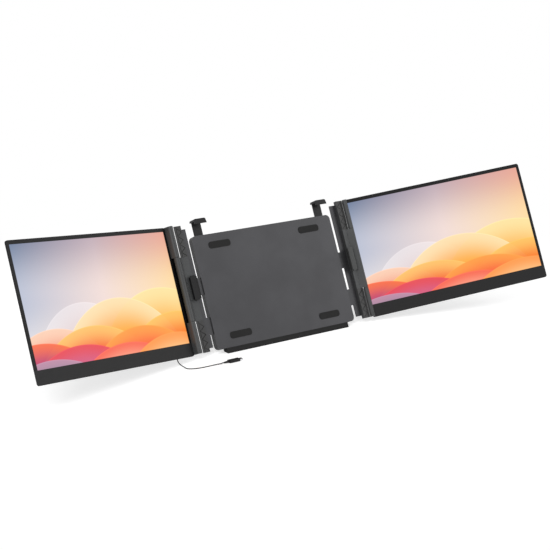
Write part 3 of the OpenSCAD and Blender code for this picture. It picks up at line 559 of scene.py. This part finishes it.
def stand_for(made, node, finish=None):
    """Gives a finished piece the body, the finish and the place of a CAD node."""
    made.data.materials.clear()
    made.data.materials.append(finish or finishes[slot_of(node)])
    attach(made, body_of(node))
    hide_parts(node)
    return made


def dress(node, name, width, finish=None, cut=None):
    """Stands for a CAD node with its shape, eased edges and finish; cut may open slots in it."""
    holder = add_object(name, merged_copy(node))
    if cut:
        holder = cut(holder)
    return stand_for(ease_edges(holder, name, width * MM), node, finish)


def paint(node, finish=None):
    """A CAD node kept as it is, in its own finish."""
    data = frame["nodes"][node].data
    data.materials.clear()
    data.materials.append(finish or finishes[slot_of(node)])


# ------------------------------------------------------------------ Geometry Nodes
class Grower:
    """A Geometry Nodes tree with named inputs; it ends in Realize Instances and Set Material."""

    KINDS = {int: "NodeSocketInt", float: "NodeSocketFloat", tuple: "NodeSocketVector"}

    def __init__(self, name, **inputs):
        self.tree = bpy.data.node_groups.new(name, "GeometryNodeTree")
        self.socket("Geometry", "NodeSocketGeometry")
        for key, value in inputs.items():
            self.socket(key, self.KINDS[type(value)]).default_value = value
        self.socket("Material", "NodeSocketMaterial")
        self.socket("Geometry", "NodeSocketGeometry", "OUTPUT")
        self.given = self.tree.nodes.new("NodeGroupInput").outputs

    def socket(self, name, kind, way="INPUT"):
        return self.tree.interface.new_socket(name, in_out=way, socket_type=kind)

    def node(self, kind, settings=None, output=0, **named):
        """Adds a node; a name that isn't a socket's is its number after the letter n."""
        made = self.tree.nodes.new(kind)
        for key, value in (settings or {}).items():
            setattr(made, key, value)
        for key, value in named.items():
            numbered = key[0] == "n" and key[1:].isdigit()
            socket = made.inputs[int(key[1:]) if numbered else key.replace("_", " ")]
            for one in value if isinstance(value, list) else [value]:
                if isinstance(one, bpy.types.NodeSocket):
                    self.tree.links.new(one, socket)
                else:
                    socket.default_value = one
        return made.outputs[output]

    def math(self, operation, a, b):
        return self.node("ShaderNodeMath", {"operation": operation}, n0=a, n1=b)

    def vector(self, x=0.0, y=0.0, z=0.0):
        return self.node("ShaderNodeCombineXYZ", X=x, Y=y, Z=z)

    def cylinder(self, sides, radius, depth, **more):
        return self.node("GeometryNodeMeshCylinder", Vertices=sides, Radius=radius, Depth=depth,
                         **more)

    def moved(self, shape, by):
        return self.node("GeometryNodeTransform", Geometry=shape, Translation=by)

    def without(self, shape, others):
        """A shape with others cut out of it."""
        return self.node("GeometryNodeMeshBoolean",
                         {"operation": "DIFFERENCE", "solver": "EXACT"},
                         Mesh_1=shape, Mesh_2=others)

    def row(self):
        """Points from Start on, a Step apart."""
        return self.node("GeometryNodeMeshLine", Count=self.given["Count"],
                         Start_Location=self.given["Start"], Offset=self.given["Step"])

    def turned(self):
        return self.node("FunctionNodeEulerToRotation", Euler=self.given["Turn"])

    def end(self, shape):
        real = self.node("GeometryNodeRealizeInstances", Geometry=shape)
        painted = self.node("GeometryNodeSetMaterial", Geometry=real,
                            Material=self.given["Material"])
        out = self.tree.nodes.new("NodeGroupOutput")
        self.tree.links.new(painted, out.inputs[0])

    def run(self, holder, name, finish, **values):
        """Runs the tree on a holder object and keeps the result as a plain mesh."""
        modifier = holder.modifiers.new("grow", "NODES")
        modifier.node_group = self.tree
        values["Material"] = finish
        for item in self.tree.interface.items_tree:
            if item.in_out == "INPUT" and item.name in values:
                modifier[item.identifier] = values[item.name]
        return plain_mesh(holder, name)


def screw_grower():
    """Round-headed screws with a cross recess on the holder's points, each turned at random."""
    g = Grower("screws", Head=2.6 * MM, Depth=1.2 * MM, Shank=1.2 * MM, Length=9.0 * MM,
               Recess=3.0 * MM, Turn=(0.0, 0.0, 0.0), Seed=1)
    given = g.given
    head = g.cylinder(32, given["Head"], given["Depth"], Side_Segments=5)
    place = g.node("GeometryNodeInputPosition")
    height = g.node("ShaderNodeSeparateXYZ", output=2, Vector=place)
    share = g.math("DIVIDE", height, given["Depth"])
    slim = g.node("ShaderNodeMapRange", {"interpolation_type": "SMOOTHSTEP"}, n0=share, n1=0.1,
                  n2=0.5, n3=1.0, n4=0.86)
    scaled = g.node("ShaderNodeVectorMath", {"operation": "MULTIPLY"}, n0=place,
                    n1=g.vector(slim, slim, 1.0))
    head = g.node("GeometryNodeSetPosition", Geometry=head, Position=scaled)
    long, thin = given["Recess"], g.math("MULTIPLY", given["Recess"], 0.26)
    top = g.vector(z=g.math("MULTIPLY", given["Depth"], 0.5))
    bars = [g.moved(g.node("GeometryNodeMeshCube", Size=g.vector(x, y, given["Depth"])), top)
            for x, y in ((long, thin), (thin, long))]
    head = g.moved(g.without(head, bars), g.vector(z=g.math("MULTIPLY", given["Depth"], -0.5)))
    half = g.math("MULTIPLY", given["Length"], 0.5)
    middle = g.math("MULTIPLY", g.math("ADD", given["Depth"], half), -1.0)
    shank = g.moved(g.cylinder(16, given["Shank"], given["Length"]), g.vector(z=middle))
    screw = g.node("GeometryNodeJoinGeometry", Geometry=[head, shank])
    spin = g.node("FunctionNodeRandomValue", {"data_type": "FLOAT"}, output=1, n2=0.0,
                  n3=math.pi / 2, Seed=given["Seed"])
    spin = g.node("FunctionNodeEulerToRotation", Euler=g.vector(z=spin))
    turn = g.node("FunctionNodeRotateRotation", {"rotation_space": "LOCAL"}, Rotation=g.turned(),
                  Rotate_By=spin)
    g.end(g.node("GeometryNodeInstanceOnPoints", Points=given["Geometry"], Instance=screw,
                 Rotation=turn))
    return g


def slot_grower():
    """A row of round-ended slots cut into the holder."""
    g = Grower("slots", Long=12.0 * MM, Wide=1.2 * MM, Deep=2.0 * MM, Count=6,
               Start=(0.0, 0.0, 0.0), Step=(1.0, 0.0, 0.0), Turn=(0.0, 0.0, 0.0))
    given = g.given
    end = g.cylinder(12, g.math("MULTIPLY", given["Wide"], 0.5), given["Deep"])
    reach = g.math("MULTIPLY", g.math("SUBTRACT", given["Long"], given["Wide"]), 0.5)
    ends = [g.moved(end, g.vector(g.math("MULTIPLY", reach, way))) for way in (-1.0, 1.0)]
    both = g.node("GeometryNodeJoinGeometry", Geometry=ends)
    slot = g.node("GeometryNodeConvexHull", Geometry=both)
    row = g.node("GeometryNodeInstanceOnPoints", Points=g.row(), Instance=slot,
                 Rotation=g.turned())
    row = g.node("GeometryNodeRealizeInstances", Geometry=row)
    g.end(g.without(given["Geometry"], [row]))
    return g


def ring_grower():
    """Rings along a strain relief, from a wide one to a narrow one."""
    g = Grower("rings", Wide=2.0 * MM, Narrow=1.0 * MM, Thick=0.3 * MM, Count=6,
               Start=(0.0, 0.0, 0.0), Step=(1.0, 0.0, 0.0), Turn=(0.0, 0.0, 0.0))
    given = g.given
    ring = g.node("GeometryNodeCurvePrimitiveCircle", Resolution=28, Radius=given["Wide"])
    wire = g.node("GeometryNodeCurvePrimitiveCircle", Resolution=8, Radius=given["Thick"])
    ring = g.node("GeometryNodeCurveToMesh", Curve=ring, Profile_Curve=wire)
    last = g.math("SUBTRACT", given["Count"], 1)
    slim = g.node("ShaderNodeMapRange", n0=g.node("GeometryNodeInputIndex"), n1=0.0, n2=last,
                  n3=1.0, n4=g.math("DIVIDE", given["Narrow"], given["Wide"]))
    g.end(g.node("GeometryNodeInstanceOnPoints", Points=g.row(), Instance=ring,
                 Rotation=g.turned(), Scale=slim))
    return g


screws, slots, rings = screw_grower(), slot_grower(), ring_grower()
OUT_OF_BACK = Matrix.Rotation(math.radians(-90), 3, "X")     # turns +z to +y


def proper_turn(place):
    """The turn of a frame, without its mirror image."""
    turn = place.to_3x3()
    if turn.determinant() < 0:
        turn = turn @ Matrix.Scale(-1, 3, (1, 0, 0))
    return turn


def angles(turn):
    return tuple(turn.to_euler())


def head_places(node, own):
    """Where the screws of a CAD node have their heads: x, furthest y and z in the given frame."""
    bm = bmesh.new()
    bm.from_mesh(merged_copy(node))
    back = own.inverted()
    waiting, found = set(bm.verts), {}
    while waiting:
        screw, edge = set(), [waiting.pop()]
        while edge:
            vert = edge.pop()
            screw.add(vert)
            for other in (e.other_vert(vert) for e in vert.link_edges):
                if other in waiting:
                    waiting.remove(other)
                    edge.append(other)
        local = np.array([back @ vert.co for vert in screw])
        x, z = (round(float((local[:, k].min() + local[:, k].max()) / 2), 4) for k in (0, 2))
        found[x, z] = max(found.get((x, z), -1.0), float(local[:, 1].max()))
    bm.free()
    return [(x, y, z) for (x, z), y in sorted(found.items())]


def drive_screws(node, name, own, **sizes):
    """Cross-headed screws in the places of a CAD node's screws."""
    mesh = bpy.data.meshes.new(name)
    mesh.from_pydata([own @ Vector(p) for p in head_places(node, own)], [], [])
    made = screws.run(add_object(name, mesh), name, finishes[slot_of(node)],
                      Turn=angles(proper_turn(own) @ OUT_OF_BACK), **sizes)
    made.data.shade_smooth()
    made.data.set_sharp_from_angle(angle=math.radians(30))
    return stand_for(made, node)


# ------------------------------------------------------------------ the lead
SOCKET = screen_frame("left") @ Vector(FIRST_SOCKET)
DOWN = (lean_frame().to_3x3() @ Vector((0, 0, -1))).normalized()
TO_CORD = Vector((-1, 0, 0))            # from the far plug to its end of the cord
NEAR_END = SOCKET + DOWN * (sum(NEAR_PLUG) + CORD_GAP)
FAR_END = Vector((-164.1, -46, 2.4)) * MM
CORD_ROUTE = [NEAR_END, NEAR_END + DOWN * 2 * MM] + [Vector(p) * MM for p in (
    (-235.5, -18.9, 8.1), (-234.3, -20, 6.1), (-232.7, -21.5, 4.3), (-231.2, -23.5, 3),
    (-229.8, -26.4, 2), (-228.5, -32, 1.1), (-225.3, -36.4, 0.9), (-221, -38.9, 0.9),
    (-213.9, -41.6, 0.9), (-205, -42.9, 0.9), (-195.5, -43.4, 0.9), (-185.7, -43.6, 1.0),
    (-176.4, -44.6, 1.5))] + [
    FAR_END - Vector((7, 0.4, 0.4)) * MM, FAR_END - Vector((3, 0, 0)) * MM,
    FAR_END - Vector((1, 0, 0)) * MM, FAR_END]
ROUTE_STEPS, CORD_SIDES = 8, 16


def smooth_route(points, steps):
    """Catmull-Rom curve through the points of a route."""
    found = []
    last = len(points) - 1
    for k in range(last):
        a, b, c, d = points[max(k - 1, 0)], points[k], points[k + 1], points[min(k + 2, last)]
        for j in range(steps):
            t = j / steps
            found.append(0.5 * (2 * b + (c - a) * t + (2 * a - 5 * b + 4 * c - d) * t * t
                                + (3 * b - a - 3 * c + d) * t ** 3))
    return found + [points[-1]]


def sweep(name, path, outline):
    """A closed tube along a path; outline gives the ring's points across the path."""
    bm = bmesh.new()
    loops = []
    side = Vector((0.3, 1, 0.2))
    for k, p in enumerate(path):
        along = (path[min(k + 1, len(path) - 1)] - path[max(k - 1, 0)]).normalized()
        u = along.cross(side).normalized()
        w = along.cross(u)
        loops.append([bm.verts.new(p + u * x + w * y) for x, y in outline])
    for a, b in zip(loops, loops[1:]):
        n = len(a)
        for j in range(n):
            bm.faces.new((a[j], a[(j + 1) % n], b[(j + 1) % n], b[j]))
    bm.faces.new(loops[0][::-1])
    bm.faces.new(loops[-1])
    bmesh.ops.recalc_face_normals(bm, faces=bm.faces)
    mesh = bpy.data.meshes.new(name)
    bm.to_mesh(mesh)
    bm.free()
    mesh.shade_smooth()
    mesh.set_sharp_from_angle(angle=math.radians(50))
    return add_object(name, mesh)


def lay_cord():
    path = smooth_route(CORD_ROUTE, ROUTE_STEPS)
    ring = [(CORD_D / 2 * math.cos(a), CORD_D / 2 * math.sin(a))
            for a in np.linspace(0, 2 * math.pi, CORD_SIDES + 1)[:-1]]
    cord = sweep("lead_cord", path, ring)
    cord.data.materials.append(finishes["cord_jacket"])
    length = sum((b - a).length for a, b in zip(path, path[1:]))
    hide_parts("cord")
    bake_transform(cord)
    return cord, path, length


cord, cord_path, cord_length = lay_cord()


def relief_rings(name, body, end, direction, length, count):
    """Moulded rings round a plug's strain relief, which ends at the given point of the cord."""
    wide, narrow = PLUG_T / 2 - RELIEF_TIP, CORD_D / 2 + RELIEF_TIP
    inset, thick = 0.14, 0.24 * MM      # plain share of the relief at each end
    first = end - direction * length * (1 - inset)
    step = direction * length * (1 - 2 * inset) / (count - 1)
    slope = (wide - narrow) * inset
    turn = direction.to_track_quat("Z", "Y").to_matrix()
    holder = add_object(name, bpy.data.meshes.new(name))
    made = rings.run(holder, name, finishes["plug_plastic"], Wide=wide - slope,
                     Narrow=narrow + slope, Thick=thick, Count=count, Start=tuple(first),
                     Step=tuple(step), Turn=angles(turn))
    made.data.shade_smooth()
    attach(made, body)


relief_rings("near_plug_rings", "left_screen", NEAR_END - DOWN * CORD_GAP, DOWN, NEAR_PLUG[1], 5)
relief_rings("far_plug_rings", "left_arm", FAR_END - TO_CORD * CORD_GAP, TO_CORD, FAR_PLUG[1], 6)


# ------------------------------------------------------------------ pieces that keep the CAD shape
COVER_RIM, LINE_REACH = 0.4 * MM, 0.7 * MM
LIGHT_STROKE = 0.55                     # share of the painted shade on the rising strokes, which catch more light, against 1 on the others


def mark_grooves(piece, side):
    """Marks the sunk faces of the grooved covers for painted shade: in full, or less on the strokes
    that rise, which catch more light.
    """
    back = side_frame(side).inverted()
    sunk = np.zeros(len(piece.data.polygons))
    for face in piece.data.polygons:
        corners = [back @ piece.data.vertices[v].co for v in face.vertices]
        x, y, z = sum(corners, Vector()) / len(corners)
        on_rim = x < COVER_X[0] + COVER_RIM or x > COVER_X[1] - COVER_RIM
        floor = max(c.y for c in corners) < GROOVE_FLOOR + 0.05 * MM
        if y > COVER_FRONT + 0.03 * MM and floor and not on_rim:
            start = COVER_Z[1] if z > COVER_Z[1] else COVER_Z[0]
            stroke = int((z - start - GROOVE_END) // (GROOVE_PITCH / 2))
            rising = (stroke % 2 == 0) == (side == "left")
            full = abs(x - LINE_X) < LINE_REACH or not rising
            sunk[face.index] = 1.0 if full else LIGHT_STROKE
    set_mark(piece.data, "sunk", sunk)


VENTS, VENT_PITCH, BELOW_TOP = 22, 4.2 * MM, 20 * MM


def cut_vents(side):
    """A cut for dress(): upright slots near the upper edge of the box on a screen's back."""
    own = screen_frame(side)
    middle = (NEAR_X[side] + REACH[side] + LIT_W + OUTER_BORDER) / 2
    start = (middle - (VENTS - 1) / 2 * VENT_PITCH, SET_BACK[side] + SHEET_Y + BOX_D,
             BOX_TOP - BELOW_TOP)
    upright = Matrix.Rotation(math.radians(90), 3, "Z")

    def cut(holder):
        return slots.run(holder, holder.name, finishes["rubber"], Long=14 * MM, Wide=1.5 * MM,
                         Deep=3 * MM, Count=VENTS, Start=tuple(own @ Vector(start)),
                         Step=tuple(own.to_3x3() @ Vector((VENT_PITCH, 0, 0))),
                         Turn=angles(proper_turn(own) @ OUT_OF_BACK @ upright))
    return cut


EASED = {  # CAD node of one side: the piece's name and the width of its eased edges in mm
    "arm_plate": ("arm_plate_steel", 0.2),
    "spine": ("spine_rail", 0.25),
    "spine_covers": ("grooved_covers", 0.3),
    "hinge_bracket": ("middle_barrel", 0.35),
    "side_clip": ("side_clip_hook", 0.6),
    "side_clip_pad": ("side_clip_rubber", 0.25),
    "top_clip": ("top_clip_hook", 0.7),
    "top_clip_pad": ("top_clip_rubber", 0.25),
    "bezel": ("screen_frame", 0.25),
    "rear_cover": ("rear_shell", 0.35),
    "knuckles": ("hinge_knuckles", 0.35),
    "power_button": ("power_key", 0.25),
    "menu_rocker": ("menu_key", 0.25),
}
PAINTED = ("backlight", "driver_board", "usb_c_ports", "hdmi_port", "hinge_pins", "hinge_washers")
COVER_SCREWS = {"Head": 1.6 * MM, "Depth": 0.5 * MM, "Shank": 0.75 * MM, "Length": 1.9 * MM,
                "Recess": 1.7 * MM, "Seed": 5}
EASED_ONCE = {  # CAD node that has no side: as above
    "hub_front_plate": ("bracket_front", 0.4),
    "hub_back_cover": ("bracket_back", 0.5),
    "lid_pads": ("lid_rubbers", 0.2),
    "foot_strip": ("foot_rubber", 0.4),
    "kickstand_leg": ("kickstand_plate", 0.4),
    "kickstand_foot": ("kickstand_rubber", 0.4),
    "left_hinge_shroud": ("left_edge_strip", 0.2),
    "far_plug": ("far_plug_shell", 0.6),
    "near_plug": ("near_plug_shell", 0.6),
}
PAINTED_ONCE = ("arm_stop_pins", "kickstand_pin", "near_plug_tip", "far_plug_tip")
BRACKET_SCREWS = {"Head": 2.6 * MM, "Depth": 1.2 * MM, "Shank": 1.2 * MM, "Length": 9.6 * MM,
                  "Recess": 3.0 * MM, "Seed": 2}

for side in SIDES:
    for node, (name, width) in EASED.items():
        # the right side clip gets the painted lighter copy of the clip plastic
        piece = dress(f"{side}_{node}", f"{side}_{name}", width,
                      finish=CLIP_PAINTED_LIGHTER if (side, node) == ("right", "side_clip") else None,
                      cut=cut_vents(side) if node == "rear_cover" else None)
        if node == "spine_covers":
            mark_grooves(piece, side)
    paint(f"{side}_display_panel", lit_panel(side))
    for node in PAINTED:
        paint(f"{side}_{node}")
    drive_screws(f"{side}_rear_screws", f"{side}_cover_screws", screen_frame(side),
                 **COVER_SCREWS)
for node, (name, width) in EASED_ONCE.items():
    dress(node, name, width)
drive_screws("hub_screws", "bracket_screws", lean_frame(), **BRACKET_SCREWS)
for node in PAINTED_ONCE:
    paint(node)


# ------------------------------------------------------------------ floor, lights
FLOOR_SIZE = 6
FLOOR_GREY = (0.80, 0.80, 0.80, 1)
WHITE = (1, 1, 1, 1)
FLOOR_LIFT = 0.42                       # the floor's own light, which makes it white where lit
SHADOW_FROM, SHADOW_TO = 0.35, 0.95     # from here to there the shadow fades to pure white
WHITE_LIGHT, WHITE_SEEN = 0.62, 1.0     # strength of the white all round, as light and as seen
LAMP_AIM = (0, 0, 0.12)
LAMPS = {  # place, diameter and power
    "key": ((-1.9, -1.6, 2.3), 1.6, 40),
    "fill": ((2.0, -1.4, 1.6), 1.8, 16),
    "rim": ((0.2, 2.0, 1.8), 1.6, 14),
}


def seen_directly(tree):
    """1 for the rays of the camera, of mirrors and of glass, as a socket of a shader tree."""
    path = tree.nodes.new("ShaderNodeLightPath")
    found = path.outputs["Is Camera Ray"]
    for name in ("Is Glossy Ray", "Is Transmission Ray"):
        either = tree.nodes.new("ShaderNodeMath")
        either.operation = "MAXIMUM"
        tree.links.new(found, either.inputs[0])
        tree.links.new(path.outputs[name], either.inputs[1])
        found = either.outputs[0]
    return found


def set_stage():
    """A white floor that keeps a soft shadow near the object and is pure white further off."""
    bm = bmesh.new()
    bmesh.ops.create_grid(bm, x_segments=2, y_segments=2, size=FLOOR_SIZE)
    mesh = bpy.data.meshes.new("floor")
    bm.to_mesh(mesh)
    bm.free()
    floor = add_object("floor", mesh)
    f = Finish("floor_white")
    seen = Wire(f, seen_directly(f.tree))
    distance = f.node("ShaderNodeVectorMath", {"operation": "LENGTH"}, f.place(), output=1)
    far = distance.step(SHADOW_FROM, SHADOW_TO)
    f.set(Base_Color=FLOOR_GREY, Roughness=0.9, Specular_IOR_Level=0.0)
    lift = f.node("ShaderNodeEmission", {}, WHITE, FLOOR_LIFT)
    white = f.node("ShaderNodeEmission", {}, WHITE, 1.0)
    plain = Wire(f, f.shader.outputs[0])
    near = f.node("ShaderNodeAddShader", {}, plain, lift)
    shown = f.node("ShaderNodeMixShader", {}, far, near, white)
    total = f.node("ShaderNodeMixShader", {}, seen, plain, shown)
    f.tree.links.new(total.socket, f.tree.nodes["Material Output"].inputs["Surface"])
    mesh.materials.append(f.material)


def set_lights():
    """White all round, and three round lamps that face the object."""
    world = bpy.data.worlds.new("studio")
    scene.world = world
    world.use_nodes = True
    tree = world.node_tree
    strength = tree.nodes.new("ShaderNodeMapRange")
    strength.inputs["To Min"].default_value = WHITE_LIGHT
    strength.inputs["To Max"].default_value = WHITE_SEEN
    tree.links.new(seen_directly(tree), strength.inputs["Value"])
    back = tree.nodes["Background"]
    back.inputs["Color"].default_value = WHITE
    tree.links.new(strength.outputs["Result"], back.inputs["Strength"])
    for name, (place, size, power) in LAMPS.items():
        data = bpy.data.lights.new(name, "AREA")
        data.shape, data.size, data.energy = "DISK", size, power
        lamp = bpy.data.objects.new(name, data)
        lamp.location = place
        aim = Vector(LAMP_AIM) - Vector(place)
        lamp.rotation_euler = aim.to_track_quat("-Z", "Y").to_euler()
        scene.collection.objects.link(lamp)


set_stage()
set_lights()
scene.view_settings.view_transform = "Standard"
